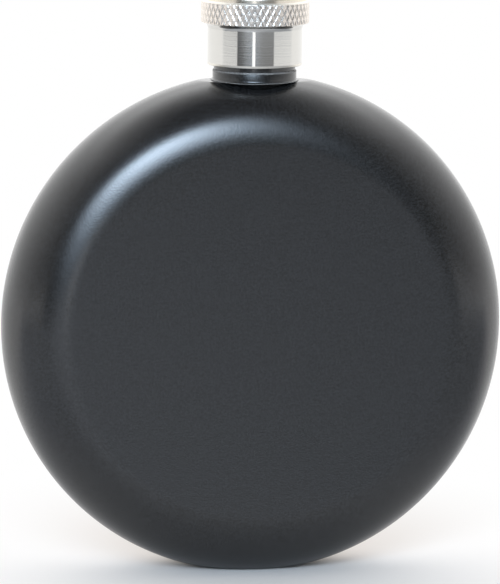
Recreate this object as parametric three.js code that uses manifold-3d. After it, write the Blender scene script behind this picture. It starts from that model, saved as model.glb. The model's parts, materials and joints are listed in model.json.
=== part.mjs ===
// Round hip flask: two pressed steel shells welded round the edge, a threaded neck and a knurled screw cap.
// Millimetres, +Z up. The origin is the middle of the flat base, and the front face looks along -Y.
import * as THREE from "three";
import { mergeVertices } from "three/addons/utils/BufferGeometryUtils.js";
import Module from "manifold-3d";

const wasm = await Module();
wasm.setup();

// Body
const BODY_DIAMETER = 95;
const BODY_THICKNESS = 25;
const SHELL_WALL = 0.7;
const BASE_FLAT_CUT = 1.05; // depth of the flat base, pressed into the round edge
const NECK_FLAT_CUT = 1.2; // depth of the flat seat under the neck
const SEAM_WELD_WIDTH = 1;

// Thread of the neck, right-handed
const THREAD_DIAMETER = 14.2;
const THREAD_PITCH = 2;
const THREAD_DEPTH = 0.6;
const THREAD_FLANK_DEGREES = 27;
const THREAD_CLEARANCE = 0.25; // radial, at the crest and at the root
const THREAD_FLANK_CLEARANCE = 0.22; // along the axis, on each side
const THREAD_SINK = 0.2; // how far the foot of a ridge is sunk into its wall
const THREAD_RUN_OUT = 0.1; // share of a turn over which an end of the thread fades

// Neck
const NECK_HEIGHT = 12.2; // seat to pouring lip
const NECK_WALL = 1; // behind the thread
const LIP_HEIGHT = 0.9; // plain band above the thread
const LIP_ROUND = 0.35;
const COLLAR_HEIGHT = 1.95;
const COLLAR_CHAMFER = 0.225; // step from the collar to the guide ring
const GUIDE_CLEARANCE = 0.55; // guide ring to skirt bore
const GUIDE_OVERLAP = 0.65; // how far the guide ring reaches up inside the skirt
const SEAT_WIDTH = 0.875; // shoulder of the collar that sits on the shells
const SPIGOT_DEPTH = 3; // below the seat
const SPIGOT_CLEARANCE = 0.15;

// Weld bead round the neck
const NECK_WELD_LEG = 0.78;
const NECK_WELD_HEIGHT = 0.7;
const NECK_WELD_WAIST = 0.13; // thickness of the bead where it draws in below its edge
const NECK_WELD_GAP = 0.15;

// Cap
const CAP_GAP = 1; // collar to skirt
const SKIRT_WALL = 0.75;
const SKIRT_EDGE = 0.35; // rounding of the skirt's lower rim
const HEAD_OVERHANG = 1.2; // knurled head over the skirt
const CROWN_HEIGHT = 1.2; // rounded edge above the knurl
const CAP_TOP_WALL = 1.2;
const KNURL_HEIGHT = 4;
const KNURL_DEPTH = 0.3;
const KNURL_EDGE = 0.45; // plain run of the knurl's first and last grooves
const KNURL_TEETH = 51;
const KNURL_ROWS = 4;

// Threaded insert and sealing disc inside the cap
const INSERT_WALL = 0.75; // behind the female thread
const INSERT_TOP_WALL = 1;
const INSERT_GAP = 0.65; // guide ring to insert
const GASKET_THICKNESS = 1.4;
const GASKET_ROUND = 0.2;
const GASKET_SIDE_GAP = 0.15;
const PRESS_GAP = 0.1; // between pieces pressed together
const SEAL_GAP = 0.1; // lip to sealing disc

// Finishes
const BLACK_COAT = { color: "#33363a", roughness: 0.5, metalness: 0.3 };
const BARE_STEEL = { color: "#d4d3cd", roughness: 0.2, metalness: 1 };
const WHITE_PLASTIC = { color: "#e6e4dc", roughness: 0.5, metalness: 0 };
const SILICONE = { color: "#c9c6bc", roughness: 0.7, metalness: 0 };

// Facets
const BODY_SEGMENTS = 60;
const NECK_SEGMENTS = 40;
const EDGE_STEPS = 8;
const CORNER_STEPS = 3;
const THREAD_STEPS = 24; // for each turn
const OVERCUT = 1; // how far a cutting solid reaches past what it cuts

// Radii that follow
const bodyRadius = BODY_DIAMETER / 2;
const edgeRadius = BODY_THICKNESS / 2;
const threadRadius = THREAD_DIAMETER / 2;
const threadRoot = threadRadius - THREAD_DEPTH;
const flankSlope = Math.tan(THREE.MathUtils.degToRad(THREAD_FLANK_DEGREES));
const threadGap = THREAD_DEPTH + THREAD_CLEARANCE; // wall of the neck's thread to wall of the insert's
const ridgeFoot = THREAD_PITCH / 2 - THREAD_FLANK_CLEARANCE + flankSlope * threadGap; // width at the wall
const boreRadius = threadRoot - NECK_WALL;
const insertBore = threadRadius + THREAD_CLEARANCE;
const insertRadius = insertBore + INSERT_WALL;
const skirtBore = insertRadius + PRESS_GAP;
const skirtRadius = skirtBore + SKIRT_WALL;
const headRadius = skirtRadius + HEAD_OVERHANG;
const grooveRadius = headRadius - KNURL_DEPTH;
const guideRadius = skirtBore - GUIDE_CLEARANCE;
const collarRadius = guideRadius + COLLAR_CHAMFER;
const spigotRadius = collarRadius - SEAT_WIDTH;

// Heights that follow
const bodyCentre = bodyRadius - BASE_FLAT_CUT;
const seat = bodyCentre + bodyRadius - NECK_FLAT_CUT;
const collarTop = seat + COLLAR_HEIGHT;
const skirtBottom = collarTop + CAP_GAP;
const guideTop = skirtBottom + GUIDE_OVERLAP;
const insertBottom = guideTop + INSERT_GAP;
const lip = seat + NECK_HEIGHT;
const threadStart = guideTop + ridgeFoot / 2;
const threadEnd = lip - LIP_HEIGHT - ridgeFoot / 2;
const gasketBottom = lip + SEAL_GAP;
const gasketTop = gasketBottom + GASKET_THICKNESS;
const insertCeiling = gasketTop + PRESS_GAP;
const insertTop = insertCeiling + INSERT_TOP_WALL;
const capCeiling = insertTop + PRESS_GAP;
const capTop = capCeiling + CAP_TOP_WALL;
const knurlTop = capTop - CROWN_HEIGHT;
const knurlBottom = knurlTop - KNURL_HEIGHT;

// A closed geometry as a solid that can be joined and cut.
function solid(geometry) {
  const plain = geometry.clone();
  plain.deleteAttribute("normal");
  plain.deleteAttribute("uv");
  const merged = mergeVertices(plain);
  const index = merged.index.array;
  const triangles = [];
  for (let i = 0; i < index.length; i += 3) {
    const [a, b, c] = index.slice(i, i + 3);
    if (a !== b && b !== c && c !== a) triangles.push(a, b, c);
  }
  return new wasm.Manifold(
    new wasm.Mesh({
      numProp: 3,
      vertProperties: merged.attributes.position.array,
      triVerts: new Uint32Array(triangles),
    }),
  );
}

// The vertices and triangles of a solid as a geometry.
function geometryOf(made) {
  const mesh = made.getMesh();
  const geometry = new THREE.BufferGeometry();
  geometry.setAttribute("position", new THREE.BufferAttribute(mesh.vertProperties, mesh.numProp));
  geometry.setIndex(new THREE.BufferAttribute(mesh.triVerts, 1));
  geometry.computeVertexNormals();
  return geometry;
}

// A box between two corners.
function boxSolid(low, high) {
  const size = new THREE.Vector3().subVectors(high, low);
  const middle = new THREE.Vector3().addVectors(low, high).multiplyScalar(0.5);
  return solid(new THREE.BoxGeometry(size.x, size.y, size.z).translate(middle.x, middle.y, middle.z));
}

// Points of an arc round (r, z), both ends included, for a lathe profile.
function arc(r, z, radius, fromDegrees, toDegrees, steps) {
  return Array.from({ length: steps + 1 }, (_, i) => {
    const angle = THREE.MathUtils.degToRad(fromDegrees + ((toDegrees - fromDegrees) * i) / steps);
    return [r + radius * Math.cos(angle), z + radius * Math.sin(angle)];
  });
}

// A profile of [radius, height] points turned round the Z axis, written upwards on its outside.
function turned(profile, segments) {
  const points = profile.map(([r, z]) => new THREE.Vector2(r, z));
  return solid(new THREE.LatheGeometry(points, segments).rotateX(Math.PI / 2));
}

// The body between two depths, inset by a wall: a disc with a full round edge, flat at its base and top.
function bodySolid(inset, front, back) {
  const round = edgeRadius - inset;
  const angleAt = (depth) => Math.asin(THREE.MathUtils.clamp(depth / round, -1, 1));
  const from = angleAt(front);
  const to = angleAt(back);
  const steps = Math.max(2, Math.ceil((EDGE_STEPS * (to - from)) / (Math.PI / 2)));
  const profile = [new THREE.Vector2(0, Math.sin(from) * round)];
  for (let i = 0; i <= steps; i++) {
    const angle = from + ((to - from) * i) / steps;
    const radius = bodyRadius - edgeRadius + round * Math.cos(angle);
    profile.push(new THREE.Vector2(radius, round * Math.sin(angle)));
  }
  profile.push(new THREE.Vector2(0, Math.sin(to) * round));
  const disc = solid(new THREE.LatheGeometry(profile, BODY_SEGMENTS).translate(0, 0, bodyCentre));
  const low = new THREE.Vector3(-BODY_DIAMETER, -BODY_THICKNESS, inset);
  const high = new THREE.Vector3(BODY_DIAMETER, BODY_THICKNESS, seat - inset);
  return disc.intersect(boxSolid(low, high));
}

// The wall of the body between two depths, with the hole for the neck.
function bodyWall(front, back) {
  const outside = bodySolid(0, front, back);
  const hollow = bodySolid(SHELL_WALL, front - OVERCUT, back + OVERCUT);
  const neckHole = turned(
    [
      [0, bodyCentre],
      [spigotRadius + SPIGOT_CLEARANCE, bodyCentre],
      [spigotRadius + SPIGOT_CLEARANCE, seat + OVERCUT],
      [0, seat + OVERCUT],
    ],
    NECK_SEGMENTS,
  );
  return outside.subtract(hollow).subtract(neckHole);
}

// A ridge that winds up a wall, outwards (side 1) or inwards (side -1): a trapezium faded out at both ends.
function threadRidge(wall, side, start, end, phase) {
  const turns = (end - start) / THREAD_PITCH;
  const count = Math.ceil(turns * THREAD_STEPS);
  const halfWidth = (height) => ridgeFoot / 2 - flankSlope * Math.max(0, height);
  const positions = [];
  const index = [];
  for (let i = 0; i <= count; i++) {
    const turn = (turns * i) / count;
    const fade = THREE.MathUtils.clamp(Math.min(turn, turns - turn) / THREAD_RUN_OUT, 0, 1);
    const crest = THREE.MathUtils.lerp(-THREAD_SINK / 2, THREAD_DEPTH, fade);
    const angle = 2 * Math.PI * (turn + phase);
    const middle = start + turn * THREAD_PITCH;
    const section = [
      [-THREAD_SINK, -halfWidth(0)],
      [crest, -halfWidth(crest)],
      [crest, halfWidth(crest)],
      [-THREAD_SINK, halfWidth(0)],
    ];
    for (const [height, z] of section) {
      const r = wall + side * height;
      positions.push(r * Math.cos(angle), r * Math.sin(angle), middle + z);
    }
  }
  const corners = positions.length / 3 / (count + 1); // of one section
  for (let i = 0; i < count; i++) {
    for (let k = 0; k < corners; k++) {
      const a = corners * i + k;
      const b = corners * i + ((k + 1) % corners);
      index.push(a, a + corners, b, b, a + corners, b + corners);
    }
  }
  const last = corners * count;
  index.push(0, 1, 2, 0, 2, 3);
  index.push(last, last + 2, last + 1, last, last + 3, last + 2);
  if (side < 0) index.reverse();
  const geometry = new THREE.BufferGeometry();
  geometry.setAttribute("position", new THREE.Float32BufferAttribute(positions, 3));
  geometry.setIndex(index);
  return solid(geometry);
}

// Rings of points stacked along Z and closed on the axis. A quad is split between its two inner corners.
function ringStack(rings, columns) {
  const positions = [];
  const index = [];
  const radiusAt = rings.map(([r]) => (typeof r === "function" ? r : () => r));
  rings.forEach(([, z], row) => {
    for (let i = 0; i < columns; i++) {
      const angle = (2 * Math.PI * i) / columns;
      positions.push(radiusAt[row](i) * Math.cos(angle), radiusAt[row](i) * Math.sin(angle), z);
    }
  });
  for (let row = 0; row + 1 < rings.length; row++) {
    for (let i = 0; i < columns; i++) {
      const next = (i + 1) % columns;
      const a = row * columns + i;
      const b = row * columns + next;
      const c = a + columns;
      const d = b + columns;
      const rising = radiusAt[row](i) + radiusAt[row + 1](next);
      const falling = radiusAt[row](next) + radiusAt[row + 1](i);
      if (rising < falling) index.push(a, b, d, a, d, c);
      else index.push(a, b, c, b, d, c);
    }
  }
  const bottom = positions.length / 3;
  const top = bottom + 1;
  positions.push(0, 0, rings[0][1], 0, 0, rings[rings.length - 1][1]);
  const lastRow = (rings.length - 1) * columns;
  for (let i = 0; i < columns; i++) {
    const next = (i + 1) % columns;
    index.push(bottom, next, i, top, lastRow + i, lastRow + next);
  }
  const geometry = new THREE.BufferGeometry();
  geometry.setAttribute("position", new THREE.Float32BufferAttribute(positions, 3));
  geometry.setIndex(index);
  return solid(geometry);
}

// The neck: spigot, collar, guide ring, thread and pouring lip round one bore.
function neckSolid() {
  const core = turned(
    [
      [boreRadius, seat - SPIGOT_DEPTH],
      [spigotRadius, seat - SPIGOT_DEPTH],
      [spigotRadius, seat],
      [collarRadius, seat],
      [collarRadius, collarTop],
      [guideRadius, collarTop + COLLAR_CHAMFER],
      [guideRadius, guideTop - COLLAR_CHAMFER],
      [guideRadius - COLLAR_CHAMFER, guideTop],
      [threadRoot, guideTop],
      ...arc(threadRoot - LIP_ROUND, lip - LIP_ROUND, LIP_ROUND, 0, 90, CORNER_STEPS),
      ...arc(boreRadius + LIP_ROUND, lip - LIP_ROUND, LIP_ROUND, 90, 180, CORNER_STEPS),
      [boreRadius, seat - SPIGOT_DEPTH],
    ],
    NECK_SEGMENTS,
  );
  return core.add(threadRidge(threadRoot, 1, threadStart, threadEnd, 0));
}

// The weld bead: a fillet beside the collar, drawn in below its edge and filled down to the round body.
function neckWeldSolid() {
  const inner = collarRadius + NECK_WELD_GAP;
  const edge = inner + NECK_WELD_LEG;
  const waist = inner + NECK_WELD_WAIST;
  const foot = spigotRadius + SPIGOT_CLEARANCE;
  const roundAt = Math.sqrt(Math.max(0, edgeRadius ** 2 - edge ** 2));
  const bottom = seat - (edgeRadius - NECK_FLAT_CUT - roundAt) - OVERCUT;
  const ring = turned(
    [
      [foot, bottom],
      [waist, bottom],
      [waist, seat - NECK_WELD_GAP],
      [edge, seat + NECK_WELD_GAP],
      [inner, seat + NECK_WELD_GAP + NECK_WELD_HEIGHT],
      [inner, seat - NECK_WELD_GAP],
      [foot, seat - NECK_WELD_GAP],
      [foot, bottom],
    ],
    NECK_SEGMENTS,
  );
  const body = bodySolid(-NECK_WELD_GAP, -BODY_THICKNESS, BODY_THICKNESS);
  return ring.subtract(body);
}

// The cap's steel shell: a plain skirt, a cove under the head, a diamond knurl and a rounded crown.
function capShellSolid() {
  const columns = 2 * KNURL_TEETH;
  const cove = grooveRadius - skirtRadius;
  const rowStep = (KNURL_HEIGHT - 2 * KNURL_EDGE) / (KNURL_ROWS - 1);
  const knurl = Array.from({ length: KNURL_ROWS }, (_, row) => [
    (i) => ((i + row) % 2 ? grooveRadius : headRadius),
    knurlBottom + KNURL_EDGE + row * rowStep,
  ]);
  const outside = ringStack(
    [
      ...arc(skirtRadius - SKIRT_EDGE, skirtBottom + SKIRT_EDGE, SKIRT_EDGE, -90, 0, CORNER_STEPS),
      ...arc(grooveRadius, knurlBottom - cove, cove, 180, 90, CORNER_STEPS),
      ...knurl,
      ...arc(grooveRadius - CROWN_HEIGHT, knurlTop, CROWN_HEIGHT, 0, 90, CORNER_STEPS),
    ],
    columns,
  );
  const bore = turned(
    [
      [0, skirtBottom - OVERCUT],
      [skirtBore, skirtBottom - OVERCUT],
      [skirtBore, capCeiling],
      [0, capCeiling],
    ],
    NECK_SEGMENTS,
  );
  return outside.subtract(bore);
}

// The threaded insert: a cup pressed into the skirt, with the female thread half a pitch above the neck's.
function capInsertSolid() {
  const cup = turned(
    [
      [0, insertCeiling],
      [insertBore, insertCeiling],
      [insertBore, insertBottom],
      [insertRadius, insertBottom],
      [insertRadius, insertTop],
      [0, insertTop],
    ],
    NECK_SEGMENTS,
  );
  const start = insertBottom + ridgeFoot / 2;
  const end = gasketBottom - ridgeFoot;
  const halfTurn = 0.5;
  const phase = (start - threadStart) / THREAD_PITCH - halfTurn;
  return cup.add(threadRidge(insertBore, -1, start, end, phase));
}

// The sealing disc that closes on the pouring lip.
function gasketSolid() {
  const radius = insertBore - GASKET_SIDE_GAP;
  return turned(
    [
      [0, gasketBottom],
      ...arc(radius - GASKET_ROUND, gasketBottom + GASKET_ROUND, GASKET_ROUND, -90, 0, CORNER_STEPS),
      ...arc(radius - GASKET_ROUND, gasketTop - GASKET_ROUND, GASKET_ROUND, 0, 90, CORNER_STEPS),
      [0, gasketTop],
    ],
    NECK_SEGMENTS,
  );
}

// A named mesh with a material of its own.
function piece(name, made, finish) {
  const mesh = new THREE.Mesh(geometryOf(made), new THREE.MeshStandardMaterial(finish));
  mesh.name = name;
  return mesh;
}

const seamHalf = SEAM_WELD_WIDTH / 2;
const vessel = new THREE.Group();
vessel.add(piece("front_shell", bodyWall(-edgeRadius, -seamHalf), BLACK_COAT));
vessel.add(piece("rear_shell", bodyWall(seamHalf, edgeRadius), BLACK_COAT));
vessel.add(piece("seam_weld", bodyWall(-seamHalf, seamHalf), BLACK_COAT));
vessel.add(piece("neck", neckSolid(), BLACK_COAT));
vessel.add(piece("neck_weld", neckWeldSolid(), BLACK_COAT));

const cap = new THREE.Group();
cap.add(piece("cap_shell", capShellSolid(), BARE_STEEL));
cap.add(piece("cap_insert", capInsertSolid(), WHITE_PLASTIC));
cap.add(piece("cap_gasket", gasketSolid(), SILICONE));

const flask = new THREE.Group();
flask.add(vessel, cap);

export default flask;
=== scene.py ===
"""Looks of a round hip flask: two coated shells, a welded neck and a knurled steel cap, on a pale floor."""

import json
import math

import bpy
import numpy as np
from bpy.props import FloatProperty, FloatVectorProperty, IntProperty, PointerProperty
from mathutils import Matrix, Vector


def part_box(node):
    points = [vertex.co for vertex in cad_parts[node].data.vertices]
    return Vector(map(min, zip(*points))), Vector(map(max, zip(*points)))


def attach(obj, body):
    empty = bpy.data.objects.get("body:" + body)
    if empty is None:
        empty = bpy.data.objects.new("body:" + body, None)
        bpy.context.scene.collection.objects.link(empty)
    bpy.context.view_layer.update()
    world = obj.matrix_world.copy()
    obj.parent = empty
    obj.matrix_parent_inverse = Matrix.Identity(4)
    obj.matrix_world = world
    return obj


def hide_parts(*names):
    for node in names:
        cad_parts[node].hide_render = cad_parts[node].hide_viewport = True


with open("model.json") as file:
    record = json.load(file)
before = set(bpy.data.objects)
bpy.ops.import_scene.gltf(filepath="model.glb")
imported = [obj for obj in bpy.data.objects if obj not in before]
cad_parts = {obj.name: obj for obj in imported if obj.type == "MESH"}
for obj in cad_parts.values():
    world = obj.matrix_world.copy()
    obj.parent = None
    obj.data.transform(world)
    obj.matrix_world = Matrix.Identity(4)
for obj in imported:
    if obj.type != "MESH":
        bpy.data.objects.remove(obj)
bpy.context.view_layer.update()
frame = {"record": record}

bl_info = {
    "name": "Round hip flask",
    "version": (1, 0, 0),
    "blender": (4, 5, 0),
    "location": "3D View > Sidebar > Flask",
    "description": "Builds the coated, welded and turned surfaces of a round hip flask around its solids",
    "category": "Object",
}

MM = 0.001
FULL_TURN = 2 * math.pi
COAT = "satin_black_coat"
# A lighter coat for rubbed edges, whose colour also serves as a painted highlight on the collar's top and the
# bead's edge
RUBBED_AND_PAINTED_HIGHLIGHT_COAT = "rubbed_black_coat_and_painted_highlight"

# Sizes of the body, from the solids
SHELL_LOW, SHELL_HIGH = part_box("front_shell")
SEAM_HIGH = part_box("seam_weld")[1]
BODY_RADIUS = SEAM_HIGH.x
EDGE_RADIUS = -SHELL_LOW.y
FACE_RADIUS = BODY_RADIUS - EDGE_RADIUS
SEAM_HALF = SEAM_HIGH.y
BASE = SHELL_LOW.z
SEAT = SHELL_HIGH.z
FACE_MOUNT = next(m for m in frame["record"]["mounts"] if m["name"] == "front_face")
BODY_CENTRE = FACE_MOUNT["pos_m"][2]

# Sizes of the neck and the cap, from the solids
NECK_LOW, NECK_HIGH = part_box("neck")
COLLAR_RADIUS = NECK_HIGH.x
LIP = NECK_HIGH.z
CAP_LOW, CAP_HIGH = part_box("cap_shell")
HEAD_RADIUS = CAP_HIGH.x
INSERT_LOW, INSERT_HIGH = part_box("cap_insert")
DISC_LOW, DISC_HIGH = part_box("cap_gasket")
PITCH = frame["record"]["behaviour"]["couplings"][0]["ratio"] * FULL_TURN

# Points on each surface
FACE_ROWS = 14
EDGE_ROWS = 56
INNER_ROWS = 24
NOTCH_COLUMNS = 60
RIM_COLUMNS = 540
SEAM_POINTS = 5
TURNED_COLUMNS = 240
THREAD_ROWS = 150
TOOTH_COLUMNS = 16
ARC_POINTS = 17
BISECTIONS = 40
DISC_POINTS = 60
SHARP = math.radians(32)  # bend at which an edge is sharp, unless a piece has its own


def length(description, millimetres):
    """A length whose default is given in millimetres."""
    return FloatProperty(description=description, default=millimetres * MM, min=0, unit="LENGTH", precision=6)


def share(description, value):
    """A plain number from 0 to 1."""
    return FloatProperty(description=description, default=value, min=0, max=1, subtype="FACTOR")


def amount(description, value):
    """A plain number from 0 up."""
    return FloatProperty(description=description, default=value, min=0)


def angle(description, degrees):
    """An angle whose default is given in degrees."""
    turn = math.radians(degrees)
    return FloatProperty(description=description, default=turn, subtype="ANGLE", unit="ROTATION")


def colour(description, value):
    """A colour in linear red, green and blue."""
    return FloatVectorProperty(description=description, default=value, size=3, min=0, max=1, subtype="COLOR")


class FlaskBody(bpy.types.PropertyGroup):
    """Sizes of the shells and the weld bead"""

    wall: length("Thickness of the pressed steel", 0.7)
    base_softness: length("Rounding where the flat base runs into the edge", 0.07)
    seat_softness: length("Rounding where the flat under the neck runs into the edge", 0.06)
    hole_radius: length("Radius of the hole in the shells that takes the neck", 7.15)
    bead_leg: length("How far the weld bead stands out from the collar", 0.28)
    bead_height: length("How far the weld bead climbs the collar", 0.4)
    bead_edge: length("Height of the bead's edge above the seat", 0.12)
    bead_lip: length("Rounding of the bead's edge", 0.09)
    bead_waist: length("How far the bead draws in under the collar", 0.62)
    bead_sink: length("How far the bead is fused into the collar and the shells", 0.06)
    bead_unevenness: share("How much the bead varies round the neck", 0.25)


class FlaskNeck(bpy.types.PropertyGroup):
    """Sizes of the threaded neck"""

    bore_radius: length("Radius of the pouring bore", 5.5)
    spigot_radius: length("Radius of the part that passes through the shells", 7.0)
    collar_height: length("Seat to the top of the collar", 2.09)
    chamfer: length("Step from the collar to the guide ring", 0.225)
    taper: length("Height over which the collar draws in below the guide ring", 0.34)
    taper_slope: angle("How far the collar's drawn-in top leans from upright", 18)
    guide_top: length("Seat to the top of the guide ring", 3.6)
    thread_radius: length("Radius over the crests of the thread", 7.1)
    thread_depth: length("Crest to root", 0.6)
    thread_foot: length("Width of a ridge at its root", 1.213)
    thread_flank: angle("Slope of a ridge's sides", 27)
    run_out: share("Part of a turn over which an end of the thread fades", 0.2)
    lip_height: length("Plain band above the thread", 0.9)
    lip_round: length("Rounding of the pouring lip", 0.35)


class FlaskCap(bpy.types.PropertyGroup):
    """Sizes of the cap, its threaded insert and its sealing disc"""

    overhang: length("Head over the skirt", 1.2)
    skirt_edge: length("Rounding of the skirt's lower rim", 0.16)
    rim_height: length("Height of the skirt's drawn-in rim", 0.32)
    rim_lean: angle("How far the skirt's rim leans from upright", 16)
    crown: length("Height of the smooth crown above the knurl", 1.2)
    crown_step: length("Crown inside the tips of the knurl", 0.35)
    crown_chamfer: length("Height of the slope from the knurl to the crown", 0.3)
    crown_edge: length("Rounding of the crown's top edge", 0.25)
    crown_dome: length("Rise of the top towards its middle", 0.1)
    top_wall: length("Thickness of the cap's top", 1.2)
    press_gap: length("Insert to the bore that it is pressed into", 0.1)
    knurl_height: length("Height of the knurled band", 4.0)
    knurl_depth: length("Tip of a tooth to the bottom of a groove", 0.117)
    knurl_row: length("Height from one row of teeth to the next", 1.18)
    knurl_first_row: length("Top of the knurl to its first row of teeth", 0.63)
    knurl_teeth: IntProperty(description="Teeth in a row", default=51, min=3)
    tooth_flat: share("Part of a tooth that is left uncut at its tip", 0.5)
    insert_wall: length("Behind the female thread", 0.75)
    insert_top: length("Thickness of the insert's top", 1.0)
    insert_edge: length("Rounding of the insert's corners", 0.15)
    disc_edge: length("Rounding of the sealing disc", 0.2)
    disc_dent: length("Depth of the ring that the pouring lip presses in", 0.12)


class FlaskFinish(bpy.types.PropertyGroup):
    """Colours and textures of the flask's surfaces"""

    coat: colour("Black powder coat", (0.0098, 0.0100, 0.0104))
    coat_gloss: amount("Refractive index of the coat, which sets the strength of its gloss", 1.73)
    coat_roughness: share("Spread of the coat's highlights", 0.205)
    coat_grain: length("Size of the coat's grain", 0.285)
    # The rubbed colour is partly worn metal and partly a painted highlight on the collar's top and the bead's
    # edge
    rubbed: colour("Metal that shows through where an edge is rubbed", (0.36, 0.35, 0.34))
    steel: colour("Bare stainless steel", (0.66, 0.65, 0.62))
    # The crown, knurl and rim colours are lighter, warmer copies of the cap's one steel: painted highlight
    # and painted warm reflection
    crown_steel: colour("The cap's crown, a little warmer", (0.84, 0.77, 0.67))
    # The flat top's colour is a darker copy of the same steel: painted shade
    top_steel: colour("The flat top of the cap", (0.46, 0.44, 0.4))
    knurl_steel_painted_warm_highlight: colour("The cap's knurl", (0.87, 0.81, 0.745))
    rim_steel: colour("The rim of the cap's skirt", (0.9, 0.86, 0.78))
    steel_roughness: share("Spread of the turned steel's highlights", 0.1)
    top_roughness: share("Spread of the highlights on the flat top of the cap", 0.36)
    crown_roughness: share("Spread of the highlights on the crown", 0.24)
    chamfer_roughness: share("Spread of the highlights on the crown's chamfer", 0.42)
    rim_roughness: share("Spread of the highlights on the skirt's rim", 0.3)
    knurl_roughness: share("Spread of the knurled steel's highlights", 0.27)
    steel_line_depth: length("Depth of the lines that the lathe left", 0.008)
    steel_lines: length("Spacing of the lines that the lathe left", 0.3)
    plastic: colour("Moulded insert", (0.78, 0.77, 0.72))
    silicone: colour("Sealing disc", (0.58, 0.57, 0.52))


class FlaskStage(bpy.types.PropertyGroup):
    """Floor, surround and softbox"""

    floor: colour("Pale floor", (0.9, 0.845, 0.8))
    dim: amount("Light of the room in front of the table", 0.127)
    key_azimuth: angle("Direction of the softbox, from the front towards the right", -8.65)
    key_elevation: angle("Height of the softbox", 20.6)
    key_tilt: angle("Turn of the softbox about its own axis", 34.7)
    key_level: amount("Light of the softbox", 18.3)
    key_colour: colour("Daylight from the softbox", (0.66, 0.82, 1.0))


class FlaskSettings(bpy.types.PropertyGroup):
    """Everything about the flask that a user would change"""

    body: PointerProperty(type=FlaskBody)
    neck: PointerProperty(type=FlaskNeck)
    cap: PointerProperty(type=FlaskCap)
    finish: PointerProperty(type=FlaskFinish)
    stage: PointerProperty(type=FlaskStage)


# Meshes


def grid_quads(rows, columns, close_rows, close_columns, first=0):
    """Quads between the neighbouring points of a grid that is numbered row by row."""
    row = np.arange(rows if close_rows else rows - 1)[:, None]
    column = np.arange(columns if close_columns else columns - 1)[None, :]
    next_row = (row + 1) % rows
    next_column = (column + 1) % columns
    corners = (
        row * columns + column,
        row * columns + next_column,
        next_row * columns + next_column,
        next_row * columns + column,
    )
    return first + np.stack(corners, -1).reshape(-1, 4)


def fan(pole, ring):
    """Triangles from a pole to a closed ring of points."""
    return np.stack([np.full_like(ring, pole), ring, np.roll(ring, -1)], -1)


def split_by_radius(quads, radius):
    """Triangles from quads, split between the two corners nearer the axis, which keeps a groove sharp."""
    a, b, c, d = quads.T
    across = (radius[a] + radius[c] < radius[b] + radius[d])[:, None]
    first = np.where(across, np.stack([a, b, c], -1), np.stack([a, b, d], -1))
    second = np.where(across, np.stack([a, c, d], -1), np.stack([b, c, d], -1))
    return np.concatenate([first, second])


def outward(points, faces):
    """The faces, all turned round if the volume that they close is negative."""
    volume = 0.0
    for array in faces:
        for k in range(1, array.shape[1] - 1):
            a, b, c = points[array[:, 0]], points[array[:, k]], points[array[:, k + 1]]
            volume += np.einsum("ij,ij->", a, np.cross(b, c))
    return faces if volume > 0 else [array[:, ::-1] for array in faces]


def add_piece(name, points, faces, materials, body, nodes, sharp=SHARP):
    """A smooth mesh of triangles and quads that rides on a body and stands for some of its solids."""
    points = points.reshape(-1, 3)
    faces = outward(points, faces)
    corners = np.concatenate([array.ravel() for array in faces])
    sides = np.concatenate([np.full(len(array), array.shape[1]) for array in faces])
    mesh = bpy.data.meshes.new(name)
    mesh.vertices.add(len(points))
    mesh.vertices.foreach_set("co", points.astype(np.float32).ravel())
    mesh.loops.add(len(corners))
    mesh.loops.foreach_set("vertex_index", corners.astype(np.int32))
    mesh.polygons.add(len(sides))
    mesh.polygons.foreach_set("loop_start", (np.cumsum(sides) - sides).astype(np.int32))
    mesh.polygons.foreach_set("use_smooth", np.ones(len(sides), bool))
    mesh.update(calc_edges=True)
    if mesh.validate():
        raise RuntimeError(f"{name} has faces that don't join")
    mesh.set_sharp_from_angle(angle=sharp)
    for material in materials:
        mesh.materials.append(material)
    piece = bpy.data.objects.new(name, mesh)
    bpy.context.scene.collection.objects.link(piece)
    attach(piece, body)
    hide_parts(*nodes)
    return piece


def paint_faces(piece, index):
    """Gives each face of a piece the material at an index of its list."""
    piece.data.polygons.foreach_set("material_index", np.asarray(index, np.int32))


def arc(r, z, radius, start, end, points=ARC_POINTS):
    """Points of an arc round (r, z), from one angle in degrees to another."""
    turn = np.radians(np.linspace(start, end, points))
    return np.stack([r + radius * np.cos(turn), z + radius * np.sin(turn)], -1)


def profile(*runs):
    """One profile of (radius, height) points from arcs and single points."""
    return np.concatenate([np.atleast_2d(run) for run in runs])


def turns(columns):
    """The angles of the columns of a turned grid."""
    return np.linspace(0, FULL_TURN, columns, endpoint=False)


def turned(radius, height, columns):
    """Points of a profile carried round the Z axis. Its radius and height may vary along it, down the rows,
    and round the axis, along the columns."""
    turn = turns(columns)
    radius = np.broadcast_to(radius, (len(radius), columns))
    height = np.broadcast_to(height, radius.shape)
    return np.stack([radius * np.cos(turn), radius * np.sin(turn), height], -1)


def closed_on_axis(grid, low_pole, high_pole):
    """Points and faces of a turned grid whose first and last rows are closed by a pole each on the axis."""
    rows, columns = grid.shape[:2]
    count = rows * columns
    points = np.concatenate([grid.reshape(-1, 3), [[0, 0, low_pole], [0, 0, high_pole]]])
    quads = grid_quads(rows, columns, False, True)
    first_ring = np.arange(columns)
    last_ring = np.arange(count - columns, count)
    return points, quads, [fan(count, first_ring)[:, ::-1], fan(count + 1, last_ring)]


def smooth(part):
    """A smooth step from 0 to 1 as a part goes from 0 to 1."""
    part = np.clip(part, 0, 1)
    return part**2 * (3 - 2 * part)


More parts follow.
